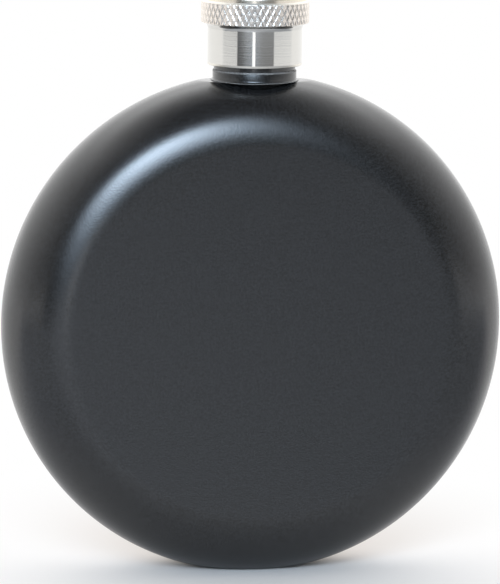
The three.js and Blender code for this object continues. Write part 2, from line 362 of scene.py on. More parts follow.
def ridge_height(turn, height, start, end, neck):
    """Height of a screw ridge above its wall. Its middle climbs one pitch a turn from start to end, its sides
    rise by a smooth step from foot to crest, as if rolled, and both ends fade out."""
    cycles = (height - start) / PITCH - turn / FULL_TURN
    offset = (cycles + 0.5) % 1 - 0.5
    middle = height - offset * PITCH
    climbed = np.minimum(middle - start, end - middle) / PITCH
    fade = np.clip(climbed / neck.run_out, 0, 1)
    flank = math.tan(neck.thread_flank) * neck.thread_depth
    return neck.thread_depth * fade * smooth((neck.thread_foot / 2 - np.abs(offset) * PITCH) / flank)


def threaded(before, thread, after, side, start, end, neck):
    """Points of a turned profile whose middle run has a screw ridge, outwards (side 1) or inwards (-1)."""
    whole = profile(before, thread, after)
    radius, height = whole[:, :1], whole[:, 1:]
    row = np.arange(len(whole))[:, None]
    on_thread = (row >= len(before)) & (row < len(before) + len(thread))
    ridge = ridge_height(turns(TURNED_COLUMNS), height, start, end, neck)
    return turned(radius + side * np.where(on_thread, ridge, 0), height, TURNED_COLUMNS)


def thread_wall(radius, start, end):
    """The profile of a wall that carries a thread, from one height to another."""
    return np.stack([np.full(THREAD_ROWS, radius), np.linspace(start, end, THREAD_ROWS)], -1)


# Shells


def soft_floor(value, limit, softness):
    """Values kept above a limit, with a rounded corner: half the sum of the height over the limit and the
    long side of the right triangle that it makes with the softness."""
    over = value - limit
    return limit + (over + np.hypot(over, softness)) / 2


def flatten(points, inset, body):
    """Points with the flats of the base and of the neck's seat cut in, both moved inwards by an inset."""
    points[..., 2] = soft_floor(points[..., 2], BASE + inset, body.base_softness)
    points[..., 2] = -soft_floor(-points[..., 2], inset - SEAT, body.seat_softness)
    return points


def reach(depth, inset):
    """Distance from the body's middle line to its round edge at a depth along Y, less an inset."""
    return FACE_RADIUS + np.sqrt((EDGE_RADIUS - inset) ** 2 - depth**2)


def notch_corner(depth, inset, hole):
    """Angle about Y, from +X towards +Z, at which the edge of the body at a depth meets the neck's hole."""
    return np.arccos(np.sqrt(hole**2 - depth**2) / reach(depth, inset))


def shell_wall(side, inset, rows, body):
    """One wall of a shell on a grid. A column is a ray from the middle of the face, at an angle about Y. The
    wall runs flat to the edge of the face, then round a circle of the edge radius to the seam, or to the
    neck's hole where an upward ray meets that first. Bisection finds how far round the circle that is."""
    round_radius = EDGE_RADIUS - inset
    corner = notch_corner(SEAM_HALF, inset, body.hole_radius)
    notch = np.linspace(corner, math.pi - corner, NOTCH_COLUMNS, endpoint=False)
    rest = np.linspace(math.pi - corner, FULL_TURN + corner, RIM_COLUMNS, endpoint=False)
    ray = np.concatenate([notch, rest])
    downward = np.sin(ray) < 0
    nearest = np.zeros_like(ray)
    farthest = np.full_like(ray, np.arccos(SEAM_HALF / round_radius))
    for _ in range(BISECTIONS):
        middle = (nearest + farthest) / 2
        across = (FACE_RADIUS + round_radius * np.sin(middle)) * np.cos(ray)
        outside = downward | (np.hypot(across, round_radius * np.cos(middle)) > body.hole_radius)
        nearest = np.where(outside, middle, nearest)
        farthest = np.where(outside, farthest, middle)
    flat = np.linspace(0, FACE_RADIUS, FACE_ROWS + 1)[1:, None] + 0 * ray
    turn = np.linspace(0, 1, rows + 1)[1:, None] * farthest
    distance = np.concatenate([flat, FACE_RADIUS + round_radius * np.sin(turn)])
    depth = np.concatenate([0 * flat + round_radius, round_radius * np.cos(turn)])
    grid = np.stack([distance * np.cos(ray), side * depth, BODY_CENTRE + distance * np.sin(ray)], -1)
    return flatten(grid, inset, body)


def shell_mesh(side, body):
    """Points and faces of a shell: its outer and inner walls, a pole in the middle of each, and its rim."""
    outer = shell_wall(side, 0, EDGE_ROWS, body)
    inner = shell_wall(side, body.wall, INNER_ROWS, body)
    columns = outer.shape[1]
    outer_count = outer.shape[0] * columns
    count = outer_count + inner.shape[0] * columns
    poles = [[0, side * EDGE_RADIUS, BODY_CENTRE], [0, side * (EDGE_RADIUS - body.wall), BODY_CENTRE]]
    points = np.concatenate([outer.reshape(-1, 3), inner.reshape(-1, 3), poles])
    ring = np.arange(columns)
    rim_out = outer_count - columns + ring
    rim_in = count - columns + ring
    rim = np.stack([rim_out, np.roll(rim_out, -1), np.roll(rim_in, -1), rim_in], -1)
    faces = [
        grid_quads(outer.shape[0], columns, False, True),
        grid_quads(inner.shape[0], columns, False, True, outer_count)[:, ::-1],
        rim[:, ::-1],
        fan(count, ring)[:, ::-1],
        fan(count + 1, outer_count + ring),
    ]
    return points, faces


def seam_mesh(body):
    """Points and faces of the seam: a strip of the body's wall between the shells, carried from one side of
    the neck's hole round to the other and closed by a flat at both ends."""
    depth = np.linspace(-SEAM_HALF, SEAM_HALF, SEAM_POINTS)
    share_round = np.linspace(0, 1, RIM_COLUMNS)
    walls = []
    for inset, depths in ((0, depth), (body.wall, depth[::-1])):
        corner = notch_corner(depths, inset, body.hole_radius)[:, None]
        ray = math.pi - corner + (math.pi + 2 * corner) * share_round
        distance = reach(depths, inset)[:, None]
        height = BODY_CENTRE + distance * np.sin(ray)
        wall = np.stack([distance * np.cos(ray), depths[:, None] + 0 * ray, height], -1)
        walls.append(flatten(wall, inset, body))
    grid = np.concatenate(walls)
    rows = len(grid)
    strip = np.arange(SEAM_POINTS - 1)
    pairs = np.stack([strip, strip + 1, rows - 2 - strip, rows - 1 - strip], -1) * RIM_COLUMNS
    faces = [grid_quads(rows, RIM_COLUMNS, True, False), pairs, pairs[:, ::-1] + RIM_COLUMNS - 1]
    return grid.reshape(-1, 3), faces


def body_top(x, y):
    """Height of the body's surface above a point of the plan: its round outline there, cut by the seat."""
    return np.minimum(BODY_CENTRE + np.sqrt(reach(y, 0) ** 2 - x**2), SEAT)


WAVES = ((0.5, 3, 0.7), (0.3, 7, 2.1), (0.2, 13, 4.0))  # height, count in a turn and start of each


def unevenness(turn):
    """A hand-made wobble round a ring, the sum of some waves: at most about 1 either way."""
    return sum(height * np.sin(count * turn + start) for height, count, start in WAVES)


# Materials

# Shades are factors on a colour. A bump is a part of the size that it belongs to, and a strength.
COAT_SPECKLE = (0.35, 0.65)  # heights of the grain between which the coat runs from dark to light
COAT_SHADES = (0.05, 1.95)
COAT_SPREAD = 0.02  # how far the roughness varies either way
COAT_BUMP = (0.09, 0.8)
RUBBED_AND_PAINTED_HIGHLIGHT_BUMP = (0.1, 0.5)
STEEL_SHADES = (0.97, 1.03)
STEEL_SPREAD = 0.03
STEEL_BUMP = (1.0, 0.6)
LINE_WANDER = 0.0008  # metres that a turning line wanders along the axis
MOULDED_SHADES = (0.95, 1.04)
MOULDED_SPREAD = 0.04
MOULDED_BUMP = (0.06, 0.4)


def add_node(tree, kind, inputs=(), **settings):
    """A shader node of a kind. An input takes a value, or a link where it is given another node's socket."""
    made = tree.nodes.new("ShaderNode" + kind)
    for key, value in settings.items():
        setattr(made, key, value)
    for key, value in dict(inputs).items():
        if isinstance(value, bpy.types.NodeSocket):
            tree.links.new(value, made.inputs[key])
        else:
            made.inputs[key].default_value = value
    return made


def math_node(tree, operation, *values):
    """The result of a calculation on one, two or three values."""
    return add_node(tree, "Math", enumerate(values), operation=operation).outputs[0]


def vector_node(tree, operation, *values):
    """The result of a calculation on one or two vectors, which is a number for a length and a dot product."""
    outputs = add_node(tree, "VectorMath", enumerate(values), operation=operation).outputs
    return outputs["Value" if operation in ("LENGTH", "DOT_PRODUCT") else "Vector"]


def new_material(name):
    """A material, and its empty tree of nodes."""
    material = bpy.data.materials.new(name)
    material.use_nodes = True
    material.node_tree.nodes.clear()
    return material, material.node_tree


def finish_material(tree, shader):
    """Joins a shader to the material's output."""
    tree.links.new(shader, add_node(tree, "OutputMaterial").inputs["Surface"])


def finish_principled(tree, inputs):
    """Joins a principled shader with some inputs to the material's output."""
    finish_material(tree, add_node(tree, "BsdfPrincipled", inputs).outputs[0])


def group_tree(name, inputs, outputs):
    """An empty shader node group with number sockets, and its two end nodes."""
    tree = bpy.data.node_groups.new(name, "ShaderNodeTree")
    for socket in inputs:
        tree.interface.new_socket(socket, in_out="INPUT", socket_type="NodeSocketFloat")
    for socket in outputs:
        tree.interface.new_socket(socket, in_out="OUTPUT", socket_type="NodeSocketFloat")
    return tree, tree.nodes.new("NodeGroupInput"), tree.nodes.new("NodeGroupOutput")


def noise(tree, place, scale, detail):
    """Noise over a surface, from 0 to 1."""
    return add_node(tree, "TexNoise", {"Vector": place, "Scale": scale, "Detail": detail}).outputs[0]


def grain_group():
    """Fine and broad noise over a surface: a height for bumps, and a slow tone from 0 to 1."""
    name = "Surface grain"
    if name in bpy.data.node_groups:
        return bpy.data.node_groups[name]
    tree, given, out = group_tree(name, ("Fine scale", "Broad scale"), ("Height", "Tone"))
    place = add_node(tree, "TexCoord").outputs["Object"]
    tree.links.new(noise(tree, place, given.outputs["Fine scale"], detail=2.0), out.inputs["Height"])
    tree.links.new(noise(tree, place, given.outputs["Broad scale"], detail=3.0), out.inputs["Tone"])
    return tree


def turned_lines_group():
    """Lines round the Z axis, as a lathe leaves them: noise along height and radius, a little astray."""
    name = "Turned lines"
    if name in bpy.data.node_groups:
        return bpy.data.node_groups[name]
    tree, given, out = group_tree(name, ("Scale",), ("Height", "Tone"))
    place = add_node(tree, "TexCoord").outputs["Object"]
    axes = add_node(tree, "SeparateXYZ", {0: place}).outputs
    across = add_node(tree, "CombineXYZ", {0: axes[0], 1: axes[1]}).outputs[0]
    broad = noise(tree, place, scale=350.0, detail=2.0)
    wander = math_node(tree, "MULTIPLY_ADD", broad, LINE_WANDER, axes[2])
    along = math_node(tree, "ADD", wander, vector_node(tree, "LENGTH", across))
    inputs = {"W": along, "Scale": given.outputs["Scale"], "Detail": 3.0}
    lines = add_node(tree, "TexNoise", inputs, noise_dimensions="1D")
    tree.links.new(lines.outputs[0], out.inputs["Height"])
    tree.links.new(broad, out.inputs["Tone"])
    return tree


def use_group(tree, group, **values):
    """A node group placed in a material with its own values."""
    placed = add_node(tree, "Group", node_tree=group)
    for key, value in values.items():
        placed.inputs[key.replace("_", " ").capitalize()].default_value = value
    return placed.outputs


def between(tree, factor, low, high):
    """A value that runs from low to high as the factor runs from 0 to 1."""
    return add_node(tree, "MapRange", {"Value": factor, "To Min": low, "To Max": high}).outputs["Result"]


def about(tree, factor, middle, spread):
    """A value that varies either side of a middle as the factor runs from 0 to 1."""
    return between(tree, factor, middle - spread, middle + spread)


def step(tree, value, low, high, shape="SMOOTHSTEP"):
    """A step from 0 to 1 as a value goes from low to high."""
    inputs = {"Value": value, "From Min": low, "From Max": high}
    return add_node(tree, "MapRange", inputs, interpolation_type=shape).outputs["Result"]


def colour_between(tree, factor, low, high):
    """A colour that runs from low to high as the factor runs from 0 to 1."""
    inputs = {0: factor, 6: (*low, 1), 7: (*high, 1)}
    return add_node(tree, "Mix", data_type="RGBA", inputs=inputs).outputs[2]


def scaled(value, factor):
    """A colour made lighter or darker by a factor."""
    return tuple(min(1.0, part * factor) for part in value)


def shaded(tree, factor, value, shades):
    """A colour that runs between two shades of itself as the factor runs from 0 to 1."""
    return colour_between(tree, factor, scaled(value, shades[0]), scaled(value, shades[1]))


def bump(tree, height, size, part, strength):
    """A normal bent by a height, whose full range stands for a part of a size in metres."""
    inputs = {"Height": height, "Distance": size * part, "Strength": strength}
    return add_node(tree, "Bump", inputs).outputs["Normal"]


def coat_material(finish):
    """Satin black powder coat: a dark base under soft highlights, with the grain of the powder."""
    material, tree = new_material(COAT)
    grain = use_group(tree, grain_group(), fine_scale=1 / finish.coat_grain, broad_scale=90.0)
    speckle = step(tree, grain["Height"], *COAT_SPECKLE, shape="LINEAR")
    inputs = {
        "Base Color": shaded(tree, speckle, finish.coat, COAT_SHADES),
        "Roughness": about(tree, grain["Tone"], finish.coat_roughness, COAT_SPREAD),
        "IOR": finish.coat_gloss,
        "Normal": bump(tree, grain["Height"], finish.coat_grain, *COAT_BUMP),
    }
    finish_principled(tree, inputs)
    return material


def rubbed_and_painted_highlight_material(finish):
    """The coat where an edge has been rubbed: bare metal shows through in specks, and its lighter colour is
    also a painted highlight along the edge.
    """
    material, tree = new_material(RUBBED_AND_PAINTED_HIGHLIGHT_COAT)
    grain = use_group(tree, grain_group(), fine_scale=1 / finish.coat_grain, broad_scale=400.0)
    inputs = {
        "Base Color": colour_between(tree, grain["Height"], finish.coat, finish.rubbed),
        "Metallic": 0.2,
        "Roughness": 0.55,
        "Normal": bump(tree, grain["Height"], finish.coat_grain, *RUBBED_AND_PAINTED_HIGHLIGHT_BUMP),
    }
    finish_principled(tree, inputs)
    return material


def steel_material(name, shade, roughness, anisotropy, finish):
    """Bare steel: highlights drawn out across the lines that the lathe left."""
    material, tree = new_material(name)
    lines = use_group(tree, turned_lines_group(), scale=1 / finish.steel_lines)
    inputs = {
        "Base Color": shaded(tree, lines["Tone"], shade, STEEL_SHADES),
        "Metallic": 1.0,
        "Roughness": about(tree, lines["Height"], roughness, STEEL_SPREAD),
        "Anisotropic": anisotropy,
        "Anisotropic Rotation": 0.25,
        "Tangent": add_node(tree, "Tangent", direction_type="RADIAL", axis="Z").outputs[0],
        "Normal": bump(tree, lines["Height"], finish.steel_line_depth, *STEEL_BUMP),
    }
    finish_principled(tree, inputs)
    return material


def moulded_material(name, shade, roughness, grain_size, translucency):
    """A moulded plastic or rubber: an even colour with a faint mottle and a fine matt grain."""
    material, tree = new_material(name)
    grain = use_group(tree, grain_group(), fine_scale=1 / grain_size, broad_scale=250.0)
    inputs = {
        "Base Color": shaded(tree, grain["Tone"], shade, MOULDED_SHADES),
        "Roughness": about(tree, grain["Tone"], roughness, MOULDED_SPREAD),
        "Subsurface Weight": translucency,
        "Subsurface Radius": (0.002, 0.002, 0.0018),
        "Subsurface Scale": 0.3,
        "Normal": bump(tree, grain["Height"], grain_size, *MOULDED_BUMP),
    }
    finish_principled(tree, inputs)
    return material


def coat(finish):
    """The one coat that the shells, the neck and the welds share."""
    return bpy.data.materials.get(COAT) or coat_material(finish)


def rubbed_and_painted_highlight_coat(finish):
    """The rubbed coat, worn and also carrying a painted highlight, that the edges of the neck and of its weld
    share.
    """
    return bpy.data.materials.get(RUBBED_AND_PAINTED_HIGHLIGHT_COAT) or rubbed_and_painted_highlight_material(finish)


# Stage

# Camera, with millimetres for the lens and for the picture's longer side on the sensor
CAMERA_PLACE = Vector((-0.13462, -0.87320, 0.18831))
CAMERA_AIM = Vector((-0.00019, 0.00113, 0.05227))
CAMERA_ROLL = math.radians(0.66)
LENS = 291.6
SENSOR = 36.0

# Floor
FLOOR_HALF = 6.0
FLOOR_FADE = (0.004, 0.1)  # metres from the flask over which the lit floor fades to white
UNDER_LIGHT = 0.72  # how much of the floor's light near the flask the flask mirrors

# The floor as the flask mirrors it
FLOOR_DEPTH = (-0.03, 0.06)  # metres along Y between the dimmer front and the lighter back
FLOOR_SIDE = (-0.15, 0.15)  # metres along X between the left of the front and its right
FRONT_LIGHT = (0.8, 0.45)  # light of the front at its left and its right
FRONT_COLOUR = (0.93, 0.98, 1.06)
BACK_LIGHT = 1.087
NEAR_RISE = (0.3, 0.55)  # metres from the flask over which the front's light rises
NEAR_LIGHT = 1.2  # how much lighter the front is beyond that
LEFT_SIDE = (-0.42, -0.78)  # sine of the azimuth between the front and a dimmer left
LEFT_LIGHT = (0.72, 0.42)  # how light the left is, close by and beyond the rise
FAR = (0.64, 0.74)  # metres from the flask between the near floor and the far one, which the cap mirrors
FAR_LIGHT = 1.21
GAP_AZIMUTH = math.radians(-6.5)  # middle of the dark gap in the far floor
GAP_EDGE = (46.5, 43)  # degrees from that middle over which the gap begins
GAP_LIGHT = (0.06, 0.24)  # light in the gap at its left and its right
GAP_SIDE = (-0.4, 0.25)  # metres along X between the two
LINE_AZIMUTH = math.radians(-10.7)  # middle of the bright line in the gap
LINE_EDGE = (4, 2.5)
LINE_LIGHT = 2.3

# Surround, whose light is given at sines of the elevation, and softbox
DIM_AZIMUTH = math.radians(-4.2)
WALL_LEVELS = ((0, 1.5), (0.2, 1.5), (0.42, 1.84), (0.6, 1.85), (0.75, 2.55), (0.88, 1.65), (1, 0.45))
KEY_LENGTH = math.radians(15.1)
KEY_TOP = math.radians(18.5)
KEY_TOP_SOFT = math.radians(4.8)
KEY_FADE = math.radians(16.1)  # how far below its axis the softbox fades away
GLOW = 0.126  # light of the glow round the softbox, as a part of the softbox's own
GLOW_SIZE = math.radians(17)
LEAST_AHEAD = 0.1  # cosine to the softbox's axis, below which a direction counts as beside it


def add_floor(context, stage):
    """A pale floor that fades to white away from the flask, for the camera and in what the flask mirrors."""
    half = FLOOR_HALF
    corners = [(-half, -half, 0), (half, -half, 0), (half, half, 0), (-half, half, 0)]
    mesh = bpy.data.meshes.new("floor")
    mesh.from_pydata(corners, [], [(0, 1, 2, 3)])
    material, tree = new_material("floor_paint")
    place = add_node(tree, "TexCoord").outputs["Object"]
    distance = vector_node(tree, "LENGTH", place)
    path = add_node(tree, "LightPath").outputs
    camera = path["Is Camera Ray"]
    sent_on = math_node(tree, "MAXIMUM", path["Is Glossy Ray"], path["Is Transmission Ray"])
    seen = math_node(tree, "MAXIMUM", camera, sent_on)
    faded = math_node(tree, "MULTIPLY", seen, step(tree, distance, *FLOOR_FADE))
    shade = colour_between(tree, camera, scaled(stage.floor, UNDER_LIGHT), stage.floor)
    paint = add_node(tree, "BsdfDiffuse", {"Color": shade})
    light, plain = mirrored_floor(tree, place, distance)
    tint = colour_between(tree, math_node(tree, "MAXIMUM", plain, camera), FRONT_COLOUR, (1, 1, 1))
    white = add_node(tree, "Emission", {"Color": tint, "Strength": between(tree, camera, light, 1.0)})
    mixed = add_node(tree, "MixShader", {0: faded, 1: paint.outputs[0], 2: white.outputs[0]})
    finish_material(tree, mixed.outputs[0])
    mesh.materials.append(material)
    floor = bpy.data.objects.new("floor", mesh)
    context.scene.collection.objects.link(floor)


def mirrored_floor(tree, place, distance):
    """The light of the floor as the flask mirrors it, and how far its tint has given way to white."""
    axes = add_node(tree, "SeparateXYZ", {0: place}).outputs
    heading = vector_node(tree, "NORMALIZE", place)
    front = between(tree, step(tree, axes[0], *FLOOR_SIDE), *FRONT_LIGHT)
    back = step(tree, axes[1], *FLOOR_DEPTH)
    left = step(tree, vector_node(tree, "DOT_PRODUCT", heading, (1, 0, 0)), *LEFT_SIDE)
    close_by = between(tree, left, 1.0, LEFT_LIGHT[0])
    beyond = between(tree, left, NEAR_LIGHT, LEFT_LIGHT[1])
    risen = between(tree, step(tree, distance, *NEAR_RISE), close_by, beyond)
    near = between(tree, back, math_node(tree, "MULTIPLY", front, risen), BACK_LIGHT)
    gap = sector(tree, heading, GAP_AZIMUTH, GAP_EDGE)
    line = sector(tree, heading, LINE_AZIMUTH, LINE_EDGE)
    dark = between(tree, step(tree, axes[0], *GAP_SIDE), *GAP_LIGHT)
    distant = between(tree, gap, FAR_LIGHT, between(tree, line, dark, LINE_LIGHT))
    far_off = step(tree, distance, *FAR)
    return between(tree, far_off, near, distant), math_node(tree, "MAXIMUM", back, far_off)


def sector(tree, heading, azimuth, edge):
    """A smooth step up to 1 for headings close to an azimuth, between two angles from it in degrees."""
    nearness = vector_node(tree, "DOT_PRODUCT", heading, toward(azimuth, 0))
    return step(tree, nearness, *np.cos(np.radians(edge)))


def add_surround(context, stage):
    """A white surround that grows lighter from a dim front towards its sides and back, with one softbox in
    front of the flask. The camera itself sees white all round."""
    world = bpy.data.worlds.new("surround")
    context.scene.world = world
    world.use_nodes = True
    tree = world.node_tree
    tree.nodes.clear()
    direction = add_node(tree, "TexCoord").outputs["Generated"]
    axes = add_node(tree, "SeparateXYZ", {0: direction}).outputs
    level = add_node(tree, "CombineXYZ", {0: axes[0], 1: axes[1]}).outputs[0]
    dim_middle = toward(DIM_AZIMUTH, 0)
    ahead = vector_node(tree, "DOT_PRODUCT", vector_node(tree, "NORMALIZE", level), dim_middle)
    behind = math_node(tree, "MULTIPLY_ADD", ahead, -0.5, 0.5)
    walls = math_node(tree, "MULTIPLY", behind, curve(tree, axes[2], WALL_LEVELS))
    room = math_node(tree, "MAXIMUM", walls, stage.dim)
    plain = add_node(tree, "Background", {"Color": (1, 1, 1, 1), "Strength": room})
    key_light = softbox(tree, direction, stage)
    key = add_node(tree, "Background", {"Color": (*stage.key_colour, 1), "Strength": key_light})
    lit = add_node(tree, "AddShader", {0: plain.outputs[0], 1: key.outputs[0]})
    white = add_node(tree, "Background", {"Color": (1, 1, 1, 1)})
    camera = add_node(tree, "LightPath").outputs["Is Camera Ray"]
    seen = add_node(tree, "MixShader", {0: camera, 1: lit.outputs[0], 2: white.outputs[0]})
    tree.links.new(seen.outputs[0], add_node(tree, "OutputWorld").inputs["Surface"])


def softbox(tree, direction, stage):
    """Light of the softbox in a direction. Along its length it falls off as a bell curve. From a crisp top
    edge it fades downwards. A weaker round glow lies about its axis."""
    axis = toward(stage.key_azimuth, stage.key_elevation)
    level = Vector((0, 0, 1)).cross(axis).normalized()
    upright = axis.cross(level)
    along = level * math.cos(stage.key_tilt) + upright * math.sin(stage.key_tilt)
    across = upright * math.cos(stage.key_tilt) - level * math.sin(stage.key_tilt)
    facing = vector_node(tree, "DOT_PRODUCT", direction, axis)
    ahead = math_node(tree, "MAXIMUM", facing, LEAST_AHEAD)
    aside = math_node(tree, "DIVIDE", vector_node(tree, "DOT_PRODUCT", direction, along), ahead)
    height = math_node(tree, "DIVIDE", vector_node(tree, "DOT_PRODUCT", direction, across), ahead)
    part = math_node(tree, "DIVIDE", aside, KEY_LENGTH)
    fall = math_node(tree, "MULTIPLY", part, math_node(tree, "MULTIPLY", part, -1.0))
    bell = math_node(tree, "EXPONENT", fall)
    top = step(tree, height, KEY_TOP + KEY_TOP_SOFT, KEY_TOP - KEY_TOP_SOFT)
    fade = step(tree, height, -KEY_FADE, KEY_TOP)
    box = math_node(tree, "MULTIPLY", bell, math_node(tree, "MULTIPLY", top, fade))
    nearness = math_node(tree, "MULTIPLY", math_node(tree, "SUBTRACT", ahead, 1.0), 2 / GLOW_SIZE**2)
    glow = math_node(tree, "MULTIPLY", math_node(tree, "EXPONENT", nearness), GLOW)
    return math_node(tree, "MULTIPLY", math_node(tree, "ADD", box, glow), stage.key_level)


def curve(tree, value, points):
    """A value that runs straight from point to point, each given as the input and the result there."""
    highest = max(result for _, result in points)
    ramp = add_node(tree, "ValToRGB", {0: value})
    stops = ramp.color_ramp.elements
    while len(stops) < len(points):
        stops.new(1)
    for stop, (place, result) in zip(stops, points):
        stop.position = place
        stop.color = (result / highest,) * 3 + (1,)
    return math_node(tree, "MULTIPLY", ramp.outputs[0], highest)


def toward(azimuth, elevation):
    """The direction at an azimuth, from the front towards the right, and a height."""
    flat = math.cos(elevation)
    return Vector((math.sin(azimuth) * flat, -math.cos(azimuth) * flat, math.sin(elevation)))


def add_camera(context):
    """The camera, at the photograph's place and angle."""
    lens = bpy.data.cameras.new("camera")
    lens.lens = LENS
    lens.sensor_width = SENSOR
    camera = bpy.data.objects.new("camera", lens)
    facing = (CAMERA_AIM - CAMERA_PLACE).to_track_quat("-Z", "Y").to_matrix().to_4x4()
    turn = facing @ Matrix.Rotation(CAMERA_ROLL, 4, "Z")
    camera.matrix_world = Matrix.Translation(CAMERA_PLACE) @ turn
    context.scene.collection.objects.link(camera)
    context.scene.camera = camera


# Operators


class FLASK_OT_shells(bpy.types.Operator):
    """Build the two pressed shells and the ground seam between them"""

    bl_idname = "flask.shells"
    bl_label = "Shells"

    def execute(self, context):
        body = context.scene.flask.body
        material = coat(context.scene.flask.finish)
        for name, node, side in (("coated_front", "front_shell", -1), ("coated_rear", "rear_shell", 1)):
            points, faces = shell_mesh(side, body)
            add_piece(name, points, faces, [material], "flask", [node])
        points, faces = seam_mesh(body)
        add_piece("coated_seam", points, faces, [material], "flask", ["seam_weld"])
        return {"FINISHED"}


class FLASK_OT_neck(bpy.types.Operator):
    """Build the threaded neck, coated below its thread"""

    bl_idname = "flask.neck"
    bl_label = "Neck"

    TAPER_ROW = 4  # the profile's point from which the collar draws in
    COATED, BARE, RUBBED = range(3)  # places in the list of materials

    def execute(self, context):
        settings = context.scene.flask
        neck = settings.neck
        root = neck.thread_radius - neck.thread_depth
        guide = COLLAR_RADIUS - neck.chamfer
        collar_top = SEAT + neck.collar_height
        guide_top = SEAT + neck.guide_top
        thread_top = LIP - neck.lip_height
        edge = neck.chamfer / 2
        below = profile(
            (neck.bore_radius, NECK_LOW.z),
            (neck.spigot_radius, NECK_LOW.z),
            (neck.spigot_radius, SEAT),
            (COLLAR_RADIUS, SEAT),
            (COLLAR_RADIUS, collar_top - neck.taper),
            (COLLAR_RADIUS - neck.taper * math.tan(neck.taper_slope), collar_top),
            (guide, collar_top + neck.chamfer / 4),
            arc(guide - edge, guide_top - edge, edge, 0, 90),
            (root, guide_top),
        )
        thread = thread_wall(root, guide_top, thread_top)[1:]
        above = profile(
            arc(root - neck.lip_round, LIP - neck.lip_round, neck.lip_round, 0, 90),
            arc(neck.bore_radius + neck.lip_round, LIP - neck.lip_round, neck.lip_round, 90, 180),
        )
        start = guide_top + neck.thread_foot / 2
        end = thread_top - neck.thread_foot / 2
        grid = threaded(below, thread, above, 1, start, end, neck)
        quads = grid_quads(len(grid), TURNED_COLUMNS, True, True)
        finish = settings.finish
        bare = steel_material("thread_steel", finish.steel, finish.steel_roughness, 0.7, finish)
        materials = [coat(finish), bare, rubbed_and_painted_highlight_coat(finish)]
        piece = add_piece("turned_neck", grid, [quads], materials, "flask", ["neck"])
        row = np.arange(len(grid))
        # The collar's drawn-in top takes the rubbed coat: worn specks, and a lighter colour that is a painted
        # highlight.
        parts = [row >= len(below) - 1, row == self.TAPER_ROW]
        paint_faces(piece, np.repeat(np.select(parts, [self.BARE, self.RUBBED], self.COATED), TURNED_COLUMNS))
        return {"FINISHED"}


class FLASK_OT_neck_weld(bpy.types.Operator):
    """Build the weld bead that joins the neck to the shells"""

    bl_idname = "flask.neck_weld"
    bl_label = "Neck weld"

    LIP_ARC = (80, -100)  # degrees at which the bead's rounded edge begins and ends
    # The top of the bead's rounded edge takes the rubbed coat: worn specks, and a lighter colour that is a
    # painted highlight.
    RUBBED_AND_PAINTED_HIGHLIGHT_ROWS = ARC_POINTS * 2 // 3  # of the bead's rounded edge, from its top
    SHARP = math.radians(60)

    def execute(self, context):
        body = context.scene.flask.body
        turn = turns(TURNED_COLUMNS)
        wobble = body.bead_unevenness * unevenness(turn)
        leg = body.bead_leg * (1 + wobble)
        edge = SEAT + body.bead_edge * (1 - wobble)
        sweep = np.radians(np.linspace(0, 90, ARC_POINTS))[:, None]
        fillet_radius = COLLAR_RADIUS + leg * (1 - np.cos(sweep))
        fillet_height = edge + body.bead_height * (1 - np.sin(sweep))
        lip = np.radians(np.linspace(*self.LIP_ARC, ARC_POINTS))[:, None]
        lip_radius = COLLAR_RADIUS + leg + body.bead_lip * np.cos(lip)
        lip_height = edge - body.bead_lip + body.bead_lip * np.sin(lip)
        waist = COLLAR_RADIUS - body.bead_waist + 0 * turn
        root = waist - body.bead_sink
        wall = COLLAR_RADIUS - body.bead_sink + 0 * turn
        foot = body_top(waist * np.cos(turn), waist * np.sin(turn)) - 2 * body.bead_sink
        seat = SEAT + body.bead_sink + 0 * turn
        sunk = [root, wall, wall]
        radius = np.concatenate([sunk, fillet_radius, lip_radius, [waist, root]])
        height = np.concatenate([[seat, seat, fillet_height[0]], fillet_height, lip_height, [foot, foot]])
        grid = turned(radius, height, TURNED_COLUMNS)
        quads = grid_quads(len(grid), TURNED_COLUMNS, True, True)
        finish = context.scene.flask.finish
        materials = [coat(finish), rubbed_and_painted_highlight_coat(finish)]
        piece = add_piece(
            "weld_bead", grid, [quads], materials, "flask", ["neck_weld"], self.SHARP
        )
        row = np.arange(len(grid))
        first_rubbed_and_painted_highlight = len(sunk) + ARC_POINTS - 1
        rubbed = (row >= first_rubbed_and_painted_highlight) & (row < first_rubbed_and_painted_highlight + self.RUBBED_AND_PAINTED_HIGHLIGHT_ROWS)
        paint_faces(piece, np.repeat(rubbed, TURNED_COLUMNS))
        return {"FINISHED"}


